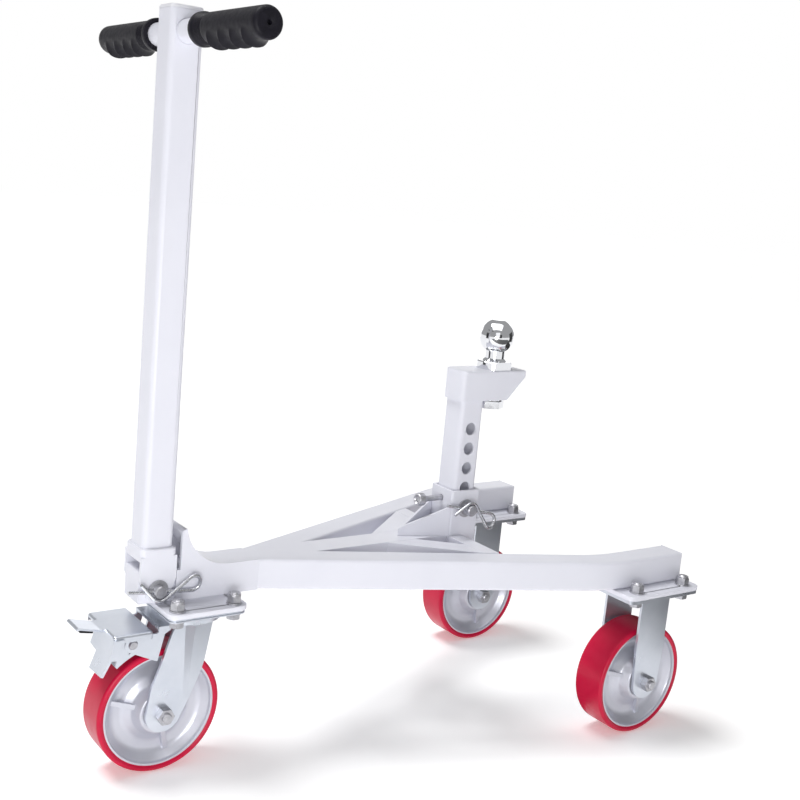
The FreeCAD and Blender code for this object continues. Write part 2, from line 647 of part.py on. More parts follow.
def release_plate():
    """Plate that leans outwards under the pedal's front edge, to kick the brake off again."""
    outline = [(-46, -3), (-46, 25), (-36, 48.5), (1, 50), (-5, 26), (16, 24), (11, -3)]
    lean = math.radians(PLATE_LEAN)
    rim = [V(PEDAL_X0 - s * math.sin(lean), y, PEDAL_FLOOR - s * math.cos(lean)) for y, s in outline]
    plate = Part.Face(Part.makePolygon(rim + [rim[0]])).extrude(V(3 * math.cos(lean), 0, -3 * math.sin(lean)))
    plate = plate.cut(box(-130, -90, -60, 60, PEDAL_FLOOR, 210))
    side = prism_y([(-109, PEDAL_FLOOR, 0), (-114.7, 165.7, 0), (-104.9, 165.4, 3), (-98.2, 178, 3),
                    (-97.5, PEDAL_FLOOR, 0)], -46, -43.2)
    return joined(plate, side).cut(pedal())


def brake_shoe():
    """Curved shoe just off the tread, on two arms from the pivot."""
    ring = ring_y(-TRAIL, WHEEL_R, -22, 22, WHEEL_R + 11, WHEEL_R + SHOE_GAP)
    sector = prism_y([(-TRAIL, WHEEL_R, 0), (-112, 162, 0), (-76, 185, 0)], -22, 22)
    arms = prism_y([(RIVET_X - 8, RIVET_Z, 0), (-98, 147, 0), (-84, 153, 0), (RIVET_X + 8, RIVET_Z, 0)],
                   -22, 22)
    arms = joined(arms, cyl_y(RIVET_X, RIVET_Z, -22, 22, 8))
    arms = arms.cut(box(-110, -60, -18, 18, 140, 200))
    return joined(ring.common(sector), arms).cut(cyl_y(RIVET_X, RIVET_Z, -40, 40, 4.3))


def return_spring():
    """Torsion spring: six close turns round the pivot, drawn as one scalloped sleeve."""
    wire = 2.4
    turns = 6
    outline = [(4.3, -wire * turns / 2, 0)]
    for i in range(turns):
        y = (i - turns / 2) * wire
        outline += [(6.3, y, 0), (7.2, y + 0.6, 0.4), (7.2, y + wire - 0.6, 0.4)]
    outline += [(6.3, wire * turns / 2, 0), (4.3, wire * turns / 2, 0)]
    return turned_y(outline, RIVET_X, RIVET_Z)


# ---------------------------------------------------------------- handle
def foot():
    """Clevis: a collar round the column's end and two cheeks astride the spine."""
    half = 23.0
    inner_y = TUBE / 2 + PIN_GAP
    collar = prism_z(rectangle(PIVOT_X - half, PIVOT_X + half, -NECK_Y, NECK_Y, 7), 274, 290)
    collar = soften(collar, 2.5, lambda e: e.CenterOfMass.z > 289.9)
    pocket = prism_z(rectangle(PIVOT_X - 20, PIVOT_X + 20, -20, 20, UPRIGHT_R), COLUMN_Z0, 291)
    r = 16.5
    shoulder_z = 250.0
    distance = math.hypot(half, shoulder_z - PIVOT_Z)
    angle = math.atan2(shoulder_z - PIVOT_Z, half) - math.acos(r / distance)
    tx = r * math.cos(angle)
    tz = PIVOT_Z + r * math.sin(angle)
    profile = [(PIVOT_X - half, 280, 0), (PIVOT_X - half, shoulder_z, 4), (PIVOT_X - tx, tz, 0),
               (PIVOT_X + tx, tz, 0), (PIVOT_X + half, shoulder_z, 4), (PIVOT_X + half, 280, 0)]
    cheeks = joined(prism_y(profile, -NECK_Y, NECK_Y), cyl_y(PIVOT_X, PIVOT_Z, -NECK_Y, NECK_Y, r))
    cheeks = cheeks.cut(box(-90, 0, -inner_y, inner_y, 200, 274))
    shape = joined(collar, cheeks).cut(pocket)
    return shape.cut(cyl_y(PIVOT_X, PIVOT_Z, -40, 40, PIN_R + PIN_GAP))


def column():
    tube = square_tube_z(PIVOT_X, 0, COLUMN_Z0, COLUMN_TOP, TUBE, TUBE - 6, UPRIGHT_R)
    return tube.cut(cyl_y(PIVOT_X, BAR_Z, -30, 30, BAR_R))


def column_cap():
    lid = prism_z(rectangle(PIVOT_X - 20, PIVOT_X + 20, -20, 20, UPRIGHT_R), COLUMN_TOP, COLUMN_TOP + 4)
    lid = soften(lid, 2.5, lambda e: e.CenterOfMass.z > COLUMN_TOP + 3.9)
    plug = prism_z(rectangle(PIVOT_X - 17, PIVOT_X + 17, -17, 17, UPRIGHT_R - 2.5),
                   COLUMN_TOP - 8, COLUMN_TOP + 1)
    return joined(lid, plug)


def handlebar():
    return ring_y(PIVOT_X, BAR_Z, -BAR_HALF, BAR_HALF, BAR_R, BAR_R - 2.5)


def grip():
    """Rubber grip with a collar, a closed end and finger ridges underneath."""
    body = turned_y([(0, GRIP_IN, 0), (GRIP_R + 2, GRIP_IN, 2), (GRIP_R + 2, GRIP_IN + 7, 2),
                     (GRIP_R, GRIP_IN + 10, 2), (GRIP_R, GRIP_OUT, 5), (0, GRIP_OUT, 0)], PIVOT_X, BAR_Z)
    ridges = []
    pitch = 23.0
    for i in range(6):
        y = GRIP_IN + 17 + i * pitch
        ridge = turned_y([(0, y - 9, 0), (10, y - 9, 0), (15.8, y - 4, 4), (15.8, y + 4, 4), (10, y + 9, 0),
                          (0, y + 9, 0)], PIVOT_X, BAR_Z - 4.2)
        ridges.append(ridge)
    shape = joined(body, *ridges)
    shape = shape.cut(cyl_y(PIVOT_X, BAR_Z, GRIP_IN - 1, BAR_HALF, BAR_R))
    return shape.cut(cyl_y(PIVOT_X, BAR_Z, GRIP_OUT - 9, GRIP_OUT + 1, 2.7))


# ---------------------------------------------------------------- pins and clips
def clevis_pin(x, z, face, end_y):
    """Headed pin along Y, head on the far side, cross hole for the clip near its end."""
    head = turned_y([(0, face, 0), (12, face, 0), (12, face + 6, 1.5), (0, face + 6, 0)], x, z)
    shank = turned_y([(0, end_y, 0), (PIN_R - 1.5, end_y, 0), (PIN_R, end_y + 1.5, 0), (PIN_R, face + 1, 0),
                      (0, face + 1, 0)], x, z)
    return joined(head, shank)


def rounded_path(points, radius):
    """Straight runs between 3-D points, joined by tangent arcs."""
    edges = []
    last = points[0]
    for before, here, after in zip(points, points[1:], points[2:]):
        a = (before - here).normalize()
        b = (after - here).normalize()
        half = a.getAngle(b) / 2
        room = 0.48 * min((before - here).Length, (after - here).Length)
        reach = min(radius / math.tan(half), room)
        r = reach * math.tan(half)
        middle = (a + b).normalize()
        mid = here + middle * (r / math.sin(half) - r)
        edges.append(Part.LineSegment(last, here + a * reach).toShape())
        edges.append(Part.Arc(here + a * reach, mid, here + b * reach).toShape())
        last = here + b * reach
    edges.append(Part.LineSegment(last, points[-1]).toShape())
    return Part.Wire(edges)


def spring_clip(x, y, z, turn, side):
    """R-shaped spring clip: a straight leg through the pin, an eye and a leg bent round the pin.

    The eye lies above the straight leg for side = 1 and below it for side = -1.
    """
    front = -2 * CLIP_WIRE_R - 0.3
    wrap = PIN_R + CLIP_WIRE_R + 0.3
    route = [(-40, 0, 0), (55.3, 0, 0), (46, front, 27), (-0.25, front, -1.36 * wrap), (-26.5, front, 10.7)]
    path = rounded_path([V(u, v, side * w) for u, v, w in route], wrap)
    start = V(*route[0])
    profile = Part.Wire(Part.makeCircle(CLIP_WIRE_R, start, V(1, 0, 0)))
    wire = path.makePipeShell([profile], True, False)
    wire.rotate(V(0, 0, 0), V(0, 1, 0), -turn)
    wire.translate(V(x, y, z))
    return wire


def clip_hole(x, y, z, turn):
    hole = Part.makeCylinder(CLIP_WIRE_R + 0.2, 40, V(-20, 0, 0), V(1, 0, 0))
    hole.rotate(V(0, 0, 0), V(0, 1, 0), -turn)
    hole.translate(V(x, y, z))
    return hole


# ---------------------------------------------------------------- post and ball
def post():
    tube = square_tube_z(POST_X, 0, POST_Z0, HEAD_Z0, TUBE, TUBE - 8, UPRIGHT_R)
    for k in range(-2, 5):
        tube = tube.cut(cyl_y(POST_X, PIN_Z + k * HOLE_PITCH, -30, 30, POST_HOLE_R))
    return tube


def head():
    """Wedge-shaped block that carries the ball behind the post."""
    profile = [(390, HEAD_Z0, 0), (473, HEAD_Z0, 5), (503.5, 487, 5), (503.5, HEAD_Z1, 0), (390, HEAD_Z1, 0)]
    block = prism_y(profile, -22, 22)
    block = soften(block, 8.0, lambda e: abs(e.CenterOfMass.x - 390) < 0.1 and e.BoundBox.ZLength > 20)
    block = soften(block, 3.0, lambda e: e.BoundBox.ZMin > HEAD_Z1 - 0.1)
    return block.cut(cyl_z(BALL_X, 0, HEAD_Z0 - 1, HEAD_Z1 + 1, SHANK_R + 0.2))


def hitch_ball():
    """Ball, neck, flange and threaded shank, turned from one bar."""
    flat_r = 9.0
    top_z = BALL_Z + math.sqrt(BALL_R ** 2 - flat_r ** 2)
    neck_r = 14.5
    low_z = BALL_Z - math.sqrt(BALL_R ** 2 - neck_r ** 2)
    axis_low = 438.5

    def at(r, z):
        return V(BALL_X + r, 0, z)

    runs = [at(neck_r, low_z), at(neck_r, 512), at(18, 508.5), at(24.5, 508.5), at(26, 507), at(26, HEAD_Z1),
            at(SHANK_R, HEAD_Z1), at(SHANK_R, axis_low + 1.5), at(SHANK_R - 1.5, axis_low), at(0, axis_low),
            at(0, top_z), at(flat_r, top_z)]
    edges = [Part.LineSegment(a, b).toShape() for a, b in zip(runs, runs[1:])]
    edges.append(Part.Arc(at(flat_r, top_z), at(BALL_R, BALL_Z), at(neck_r, low_z)).toShape())
    shape = Part.Face(Part.Wire(edges)).revolve(V(BALL_X, 0, 0), V(0, 0, 1), 360)
    for side in (-1, 1):
        y0, y1 = sorted((side * 22, side * 30))
        shape = shape.cut(box(BALL_X - 30, BALL_X + 30, y0, y1, HEAD_Z1, 509))
    return shape


def lock_washer():
    ring = ring_z(BALL_X, 0, BALL_NUT_Z1, HEAD_Z0, 18.5, SHANK_R + 0.3)
    return ring.cut(box(BALL_X + 10, BALL_X + 22, -1.2, 1.2, BALL_NUT_Z1 - 1, HEAD_Z0 + 1))


def ball_nut():
    return hex_z(BALL_X, 0, BALL_NUT_Z0, BALL_NUT_Z1, 36.0, 30).cut(cyl_z(BALL_X, 0, 430, 460, SHANK_R))


def clamp_screw():
    """Round-headed screw threaded through the socket's front wall."""
    tip = POST_X - TUBE / 2 - 0.1
    shape = turned_z([(0, 348.5, 0), (5, 348.5, 0), (6.5, 346, 0), (8, 346, 1), (9, 348, 0), (9, 356, 1.5),
                      (6, 359, 2), (SCREW_R, 363, 1), (SCREW_R, tip, 0), (0, tip, 0)], 0, 0)
    shape.rotate(V(0, 0, 0), V(0, 1, 0), 90)
    shape.translate(V(0, 0, SCREW_Z))
    return shape


# ---------------------------------------------------------------- write every node
save("frame_spine", spine())
save("neck_shell", neck())
save("arm_far", arm())
save("arm_near", mirrored(arm()))
save("arm_end_caps", arm_cap(), mirrored(arm_cap()))
save("diagonal_braces", brace(), mirrored(brace()))
save("cross_tubes", cross_tube(), mirrored(cross_tube()))
save("post_socket", socket())
save("socket_gussets", *gussets())
save("caster_pads", *[pad(x, y, lengthwise, PAD_Z0, PAD_T, PAD_L, PAD_W, 12) for x, y, lengthwise in CASTERS])
places = [place for caster in CASTERS for place in bolt_places(*caster)]
save("mount_bolts", *[mount_bolt(x, y) for x, y in places])
save("mount_washers", *[washer for x, y in places for washer in mount_washers(x, y)])
save("mount_nuts", *[mount_nut(x, y) for x, y in places])
save("clamp_screw", clamp_screw())

REAR = (("near", -REAR_Y), ("far", REAR_Y))
for side_name, wheel_y in REAR:
    save("rear_fork_" + side_name, rear_fork(wheel_y))
save("rear_axle_bolts", *[axle_bolt(REAR_X, y) for _, y in REAR])
save("rear_axle_nuts", *[axle_nut(REAR_X, y) for _, y in REAR])
save("rear_axle_sleeves", *[axle_sleeve(REAR_X, y) for _, y in REAR])
save("swivel_plate", swivel_plate())
save("swivel_balls", *race_balls())
save("king_bolt", king_bolt())
save("king_nut", hex_z(0, 0, 184.4, 194.4, 19.0).cut(cyl_z(0, 0, 184, 195, AXLE_R)))
save("swivel_fork", swivel_fork())
save("front_axle_bolt", axle_bolt(-TRAIL, 0))
save("front_axle_nut", axle_nut(-TRAIL, 0))
save("front_axle_sleeve", axle_sleeve(-TRAIL, 0))
WHEELS = (("front", -TRAIL, 0.0), ("near", REAR_X, -REAR_Y), ("far", REAR_X, REAR_Y))
for wheel_name, wheel_x, wheel_y in WHEELS:
    save("wheel_core_" + wheel_name, wheel_core(wheel_x, wheel_y))
    save("tyre_" + wheel_name, tyre(wheel_x, wheel_y))
    save("hub_bearings_" + wheel_name, *hub_bearings(wheel_x, wheel_y))

save("brake_bracket", brake_bracket())
save("brake_pivot_pin", pivot_pin())
save("brake_spring", return_spring())
save("brake_pedal", pedal())
save("pedal_pad", pedal_pad())
save("release_plate", release_plate())
save("brake_shoe", brake_shoe())

save("handle_foot", foot())
save("handle_column", column())
save("column_cap", column_cap())
save("handlebar_tube", handlebar())
save("grip_far", grip())
save("grip_near", mirrored(grip()))

HANDLE_CLIP_Y = -29.9
HANDLE_CLIP_TURN = -5.0
save("handle_pin", clevis_pin(PIVOT_X, PIVOT_Z, NECK_Y + PIN_GAP, -36.0)
     .cut(clip_hole(PIVOT_X, HANDLE_CLIP_Y, PIVOT_Z, HANDLE_CLIP_TURN)))
save("handle_clip", spring_clip(PIVOT_X, HANDLE_CLIP_Y, PIVOT_Z, HANDLE_CLIP_TURN, 1))

POST_CLIP_Y = -34.0
POST_CLIP_TURN = -13.0
save("post_pin", clevis_pin(POST_X, PIN_Z, SOCKET_OUT / 2 + PIN_GAP, -43.5)
     .cut(clip_hole(POST_X, POST_CLIP_Y, PIN_Z, POST_CLIP_TURN)))
save("pin_washers",
     ring_y(PIVOT_X, PIVOT_Z, -NECK_Y - PIN_GAP - WASHER_T, -NECK_Y - PIN_GAP, 13.0, PIN_R),
     ring_y(POST_X, PIN_Z, -SOCKET_OUT / 2 - PIN_GAP - WASHER_T, -SOCKET_OUT / 2 - PIN_GAP,
            13.0, PIN_R))
save("post_clip", spring_clip(POST_X, POST_CLIP_Y, PIN_Z, POST_CLIP_TURN, -1))

save("ball_post", post())
save("ball_head", head())
save("hitch_ball", hitch_ball())
save("lock_washer", lock_washer())
save("ball_nut", ball_nut())
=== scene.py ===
"""Looks of the three-caster trailer dolly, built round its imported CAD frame."""

import json
import math

import bmesh
import bpy
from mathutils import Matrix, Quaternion, Vector

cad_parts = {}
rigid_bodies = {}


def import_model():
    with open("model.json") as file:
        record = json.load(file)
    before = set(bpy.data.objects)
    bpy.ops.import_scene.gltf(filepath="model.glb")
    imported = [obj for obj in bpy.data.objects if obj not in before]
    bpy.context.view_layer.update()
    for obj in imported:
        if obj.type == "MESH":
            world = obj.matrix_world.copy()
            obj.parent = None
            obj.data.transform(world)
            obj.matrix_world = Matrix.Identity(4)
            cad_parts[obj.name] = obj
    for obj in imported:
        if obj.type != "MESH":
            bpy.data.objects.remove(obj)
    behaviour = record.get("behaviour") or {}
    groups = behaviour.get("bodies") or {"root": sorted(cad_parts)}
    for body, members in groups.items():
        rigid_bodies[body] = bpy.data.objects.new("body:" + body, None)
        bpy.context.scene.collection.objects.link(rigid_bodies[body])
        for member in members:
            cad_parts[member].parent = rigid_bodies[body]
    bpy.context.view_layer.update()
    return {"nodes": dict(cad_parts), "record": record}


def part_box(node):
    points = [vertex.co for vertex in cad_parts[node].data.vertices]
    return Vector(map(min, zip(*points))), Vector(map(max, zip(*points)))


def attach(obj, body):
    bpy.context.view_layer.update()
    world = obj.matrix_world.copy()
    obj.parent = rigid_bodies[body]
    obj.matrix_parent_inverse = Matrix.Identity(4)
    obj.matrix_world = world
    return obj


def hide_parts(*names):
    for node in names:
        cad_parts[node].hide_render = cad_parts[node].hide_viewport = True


for thing in list(bpy.data.objects):
    bpy.data.objects.remove(thing)

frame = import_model()
NODES = frame["nodes"]
MM = 0.001
MIDDLE_X = 0.27475         # from the front swivel axis to the model's origin, along X


def at(x, y, z):
    """A point given in millimetres from the front swivel axis, in the model's metres."""
    return Vector((x * MM - MIDDLE_X, y * MM, z * MM))


# ---------------------------------------------------------------- materials
class Shader:
    """A Principled material with a few short ways to add procedural detail."""

    def __init__(self, name, colour=None, metallic=0.0, roughness=None):
        self.material = bpy.data.materials.new(name)
        self.material.use_nodes = True
        self.tree = self.material.node_tree
        self.bsdf = self.tree.nodes["Principled BSDF"]
        self.bsdf.inputs["Metallic"].default_value = metallic
        if colour is not None:
            self.bsdf.inputs["Base Color"].default_value = (*colour, 1.0)
        if roughness is not None:
            self.bsdf.inputs["Roughness"].default_value = roughness
        self.height = None
        self.place = self.add("ShaderNodeTexCoord").outputs["Object"]

    def add(self, kind, **inputs):
        node = self.tree.nodes.new(kind)
        for key, value in inputs.items():
            node.inputs[key.replace("_", " ")].default_value = value
        return node

    def link(self, a, b):
        self.tree.links.new(a, b)

    def stretched(self, scale, turn=(0, 0, 0)):
        node = self.add("ShaderNodeMapping")
        node.inputs["Scale"].default_value = scale
        node.inputs["Rotation"].default_value = turn
        self.link(self.place, node.inputs["Vector"])
        return node.outputs["Vector"]

    def noise(self, scale, detail=3.0, rough=0.5, vector=None):
        node = self.add("ShaderNodeTexNoise", Scale=scale, Detail=detail, Roughness=rough)
        self.link(vector or self.place, node.inputs["Vector"])
        return node.outputs["Fac"]

    def ramp(self, value, low, high, from_low=0.3, from_high=0.7):
        node = self.add("ShaderNodeMapRange")
        for key, number in (("From Min", from_low), ("From Max", from_high),
                            ("To Min", low), ("To Max", high)):
            node.inputs[key].default_value = number
        self.link(value, node.inputs["Value"])
        return node.outputs["Result"]

    def mix(self, factor, a, b):
        node = self.add("ShaderNodeMix")
        node.data_type = "RGBA"
        self.link(factor, node.inputs["Factor"])
        for value, socket in ((a, node.inputs[6]), (b, node.inputs[7])):
            if isinstance(value, tuple):
                socket.default_value = (*value, 1.0)
            else:
                self.link(value, socket)
        return node.outputs[2]

    def colour(self, socket):
        self.link(socket, self.bsdf.inputs["Base Color"])

    def roughness(self, socket):
        self.link(socket, self.bsdf.inputs["Roughness"])

    def bump(self, socket, depth_mm, strength=1.0):
        node = self.add("ShaderNodeBump", Strength=strength, Distance=depth_mm * MM)
        self.link(socket, node.inputs["Height"])
        if self.height is not None:
            self.link(self.height, node.inputs["Normal"])
        self.height = node.outputs["Normal"]
        self.link(self.height, self.bsdf.inputs["Normal"])


def powder_coat():
    """Satin white powder coat: orange peel, faint colour drift and a thin clear gloss."""
    s = Shader("powder_coat_white")
    s.colour(s.mix(s.ramp(s.noise(9.0, 4.0), 0.0, 1.0), (0.74, 0.745, 0.82), (0.77, 0.775, 0.845)))
    s.roughness(s.ramp(s.noise(60.0, 4.0), 0.36, 0.48))
    s.bump(s.noise(420.0, 2.0), 0.035)
    s.bsdf.inputs["Coat Weight"].default_value = 0.15
    s.bsdf.inputs["Coat Roughness"].default_value = 0.2
    return s.material


def zinc_plate():
    """Bright zinc on pressed steel: smooth blue-grey with cloudy plating."""
    s = Shader("zinc_pressed_steel", metallic=0.85)
    cloud = s.ramp(s.noise(22.0, 5.0, 0.6), 0.0, 1.0)
    s.colour(s.mix(cloud, (0.60, 0.635, 0.705), (0.67, 0.70, 0.765)))
    s.roughness(s.ramp(s.noise(26.0, 3.0), 0.27, 0.31))
    return s.material


def fastener_zinc():
    """Duller zinc on bolts, nuts and washers, with small scuffs."""
    s = Shader("zinc_fastener", metallic=0.9)
    scuff = s.ramp(s.noise(160.0, 5.0, 0.7), 0.0, 1.0, 0.35, 0.65)
    s.colour(s.mix(scuff, (0.42, 0.42, 0.45), (0.56, 0.56, 0.59)))
    s.roughness(s.ramp(s.noise(90.0, 3.0), 0.32, 0.46))
    return s.material


def ground_steel():
    """Ground steel with fine marks across the piece."""
    s = Shader("ground_steel", (0.55, 0.56, 0.58), metallic=1.0)
    s.roughness(s.ramp(s.noise(500.0, 2.0, 0.5, s.stretched((1.0, 8.0, 1.0))), 0.16, 0.34))
    s.bump(s.noise(800.0, 2.0), 0.008)
    return s.material


def spring_wire():
    """Drawn wire: bright, with fine lengthways drawing marks."""
    s = Shader("drawn_wire", metallic=1.0)
    s.colour(s.mix(s.ramp(s.noise(90.0, 4.0), 0.0, 1.0), (0.52, 0.53, 0.56), (0.70, 0.71, 0.74)))
    s.roughness(s.ramp(s.noise(700.0, 3.0), 0.16, 0.34))
    s.bump(s.noise(1500.0, 2.0), 0.006)
    return s.material


def cast_core():
    """Silver lacquer over a casting: soft sheen, fine casting grain."""
    s = Shader("silver_cast_core", metallic=0.5)
    s.colour(s.mix(s.ramp(s.noise(20.0, 4.0), 0.0, 1.0), (0.57, 0.58, 0.65), (0.65, 0.655, 0.72)))
    s.roughness(s.ramp(s.noise(240.0, 3.0), 0.28, 0.42))
    s.bump(s.noise(300.0, 2.0, 0.5), 0.012, 0.6)
    return s.material


def red_tread():
    """Red polyurethane: glossy, with a faint moulding swirl."""
    s = Shader("red_polyurethane")
    s.colour(s.mix(s.ramp(s.noise(24.0, 4.0), 0.0, 1.0), (0.52, 0.002, 0.038), (0.60, 0.003, 0.046)))
    s.bsdf.inputs["Specular IOR Level"].default_value = 0.28
    s.roughness(s.ramp(s.noise(60.0, 3.0), 0.28, 0.38))
    s.bsdf.inputs["Coat Weight"].default_value = 0.06
    s.bsdf.inputs["Coat Roughness"].default_value = 0.1
    return s.material


def grip_rubber():
    """Matt charcoal rubber with a fine pebbled skin."""
    s = Shader("charcoal_rubber")
    s.colour(s.mix(s.ramp(s.noise(120.0, 4.0), 0.0, 1.0), (0.0045, 0.004, 0.008), (0.009, 0.008, 0.014)))
    cells = s.add("ShaderNodeTexVoronoi", Scale=1100.0)
    s.link(s.place, cells.inputs["Vector"])
    s.bump(cells.outputs["Distance"], 0.06, 0.7)
    s.roughness(s.ramp(s.noise(200.0, 3.0), 0.40, 0.56))
    s.bsdf.inputs["Specular IOR Level"].default_value = 0.2
    s.bsdf.inputs["Sheen Weight"].default_value = 0.03
    s.bsdf.inputs["Sheen Roughness"].default_value = 0.4
    return s.material


def chrome():
    """Polished chrome with the faintest polishing haze."""
    s = Shader("polished_chrome", (0.80, 0.81, 0.84), metallic=1.0)
    s.roughness(s.ramp(s.noise(180.0, 4.0), 0.035, 0.085))
    s.bump(s.noise(60.0, 2.0), 0.004)
    return s.material


def cap_plastic():
    """White moulded plastic of the caps."""
    s = Shader("white_cap_plastic", roughness=0.45)
    s.colour(s.mix(s.ramp(s.noise(30.0, 3.0), 0.0, 1.0), (0.76, 0.76, 0.81), (0.80, 0.80, 0.85)))
    s.bump(s.noise(1600.0, 2.0), 0.02)
    return s.material


FINISH = {
    "frame_paint": powder_coat(),
    "caster_steel": zinc_plate(),
    "fastener_zinc": fastener_zinc(),
    "bearing_steel": ground_steel(),
    "spring_wire": spring_wire(),
    "wheel_core_metal": cast_core(),
    "tyre_red": red_tread(),
    "grip_rubber": grip_rubber(),
    "ball_chrome": chrome(),
    "cap_plastic": cap_plastic(),
}
SLOT_OF = {part["node"]: part["material_slot"] for part in frame["record"]["subparts"]}

# ---------------------------------------------------------------- CAD nodes: finish and edges
WELD_MM = 0.01             # corners closer than this are merged
BEVEL_STEPS = 3
BEVEL_ANGLE = 35           # degrees, sharper edges are rounded
SHADING_WEIGHT = 60
EDGE_MM = {"frame_paint": 0.9, "caster_steel": 0.6, "fastener_zinc": 0.35, "wheel_core_metal": 0.6,
           "cap_plastic": 0.5, "ball_chrome": 0.5}


def round_edges(piece, width_mm):
    """Merges the split corners, rounds every sharp edge and evens out the shading."""
    weld = piece.modifiers.new("join", "WELD")
    weld.merge_threshold = WELD_MM * MM
    bevel = piece.modifiers.new("edges", "BEVEL")
    bevel.width = width_mm * MM
    bevel.segments = BEVEL_STEPS
    bevel.limit_method = "ANGLE"
    bevel.angle_limit = math.radians(BEVEL_ANGLE)
    bevel.use_clamp_overlap = True
    shade = piece.modifiers.new("shading", "WEIGHTED_NORMAL")
    shade.keep_sharp = True
    shade.weight = SHADING_WEIGHT


for name, node in NODES.items():
    slot = SLOT_OF[name]
    node.data.materials.clear()
    node.data.materials.append(FINISH[slot])
    if slot in EDGE_MM:
        round_edges(node, EDGE_MM[slot])

# ---------------------------------------------------------------- grips
GRIP_R = 17.0              # moulded rubber grips, all in mm
COLLAR_R = 18.8
BORE_R = 13.55
BORE_DEPTH = 140.0
GRIP_LENGTH = 148.0
GRIP_END_R = 5.0
VENT_R = 2.7
VENT_FLOOR = 142.0
RIDGE_DEPTH = 6.0
FIRST_RIDGE = 42.0
RIDGE_PITCH = 26.0
RIDGES = (29.0, 133.0)     # where the ridges start and end
RIPPLE_DEPTH = 0.5         # fine rings next to the collar
RIPPLE_START = 11.0
RIPPLE_STEP = 0.25         # eight steps to a ring
RIPPLE_STEPS = 64
BODY_START = 28.0          # then one ring of points each millimetre
BODY_STEPS = 111
END_STEPS = 8              # round the outer edge of the end
BELOW_FROM = 0.30          # cosine from straight down at which the ridges fade in
BELOW_SPAN = 0.60          # and how much further they reach full height
GRIP_SHARP = 50            # degrees
CAD_COLLAR_R = 19.0        # the CAD grip's collar, which its box ends on
AROUND = 96


def grip_rings():
    """Rings of (radius, distance along, weight of the ridges), from the bore's floor to the vent's."""
    rings = [(BORE_R, BORE_DEPTH, 0), (BORE_R, 0.0, 0),
             (COLLAR_R - 1.2, 0.0, 0), (COLLAR_R - 0.3, 0.3, 0), (COLLAR_R, 1.2, 0),
             (COLLAR_R, 6.5, 0), (COLLAR_R - 0.3, 7.6, 0),
             (GRIP_R + 0.3, 9.5, 0), (GRIP_R, 10.5, 0)]
    for i in range(1, RIPPLE_STEPS + 1):
        ripple = RIPPLE_DEPTH / 2 * (1 - math.cos(i * math.pi / 4))
        rings.append((GRIP_R - ripple, RIPPLE_START + i * RIPPLE_STEP, 0))
    for i in range(1, BODY_STEPS + 1):
        along = BODY_START + i
        ridge = 1 - abs(math.sin((along - FIRST_RIDGE) * math.pi / RIDGE_PITCH))
        rings.append((GRIP_R, along, ridge if RIDGES[0] <= along <= RIDGES[1] else 0))
    for i in range(1, END_STEPS + 1):
        turn = i * math.pi / (2 * END_STEPS)
        rings.append((GRIP_R - GRIP_END_R * (1 - math.cos(turn)),
                      GRIP_LENGTH - GRIP_END_R * (1 - math.sin(turn)), 0))
    return rings + [(VENT_R + 0.5, GRIP_LENGTH, 0), (VENT_R, GRIP_LENGTH - 0.5, 0),
                    (VENT_R, VENT_FLOOR, 0)]


def finger_grip(name, node, side):
    """Grip with a ringed collar, smooth on top, with finger ridges underneath."""
    low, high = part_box(node)
    axis_x = (low[0] + high[0]) / 2
    axis_z = high[2] - CAD_COLLAR_R * MM
    start_y = low[1] if side > 0 else high[1]
    mesh = bpy.data.meshes.new(name)
    work = bmesh.new()
    loops = []
    for radius, along, ridge in grip_rings():
        loop = []
        for k in range(AROUND):
            angle = 2 * math.pi * k / AROUND
            below = min(1.0, max(0.0, (math.cos(angle) - BELOW_FROM) / BELOW_SPAN))
            r = (radius + RIDGE_DEPTH * ridge * below) * MM
            loop.append(work.verts.new((axis_x + r * math.sin(angle), start_y + side * along * MM,
                                        axis_z - r * math.cos(angle))))
        loops.append(loop)
    for a, b in zip(loops, loops[1:]):
        for k in range(AROUND):
            j = (k + 1) % AROUND
            work.faces.new((a[k], a[j], b[j], b[k]))
    work.faces.new(loops[0])
    work.faces.new(loops[-1])
    bmesh.ops.recalc_face_normals(work, faces=work.faces)
    for face in work.faces:
        face.smooth = True
    work.to_mesh(mesh)
    work.free()
    mesh.set_sharp_from_angle(angle=math.radians(GRIP_SHARP))
    mesh.materials.append(FINISH["grip_rubber"])
    grip = bpy.data.objects.new(name, mesh)
    bpy.context.scene.collection.objects.link(grip)
    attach(grip, "handle")
    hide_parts(node)


finger_grip("moulded_grip_near", "grip_near", -1)
finger_grip("moulded_grip_far", "grip_far", 1)

# ---------------------------------------------------------------- studio
FLOOR_SIZE = 40.0
FLOOR_DROP = 0.0002        # just under the wheels
FLOOR_TONE = 0.97
FLOOR_GLOW = 0.26
WORLD_LEVEL = 0.26         # the light that falls on everything
WORLD_SHEEN = 0.38         # what glossy surfaces see of it
SUN_STRENGTH = 1.85
SUN_SPREAD = 22.0          # degrees
SUN_DIRECTION = (0.29, -0.24, -0.93)
floor = bpy.data.objects.new("floor", bpy.data.meshes.new("floor"))
sheet = bmesh.new()
bmesh.ops.create_grid(sheet, x_segments=1, y_segments=1, size=FLOOR_SIZE / 2)
sheet.to_mesh(floor.data)
sheet.free()
floor.location = (0, 0, -FLOOR_DROP)
bpy.context.scene.collection.objects.link(floor)
pale = Shader("pale_floor", (FLOOR_TONE, FLOOR_TONE, FLOOR_TONE))
pale.roughness(pale.ramp(pale.noise(6.0, 3.0), 0.55, 0.7))
pale.bsdf.inputs["Emission Color"].default_value = (1, 1, 1, 1)
pale.bsdf.inputs["Emission Strength"].default_value = FLOOR_GLOW
pale.bsdf.inputs["Specular IOR Level"].default_value = 0.2
floor.data.materials.append(pale.material)

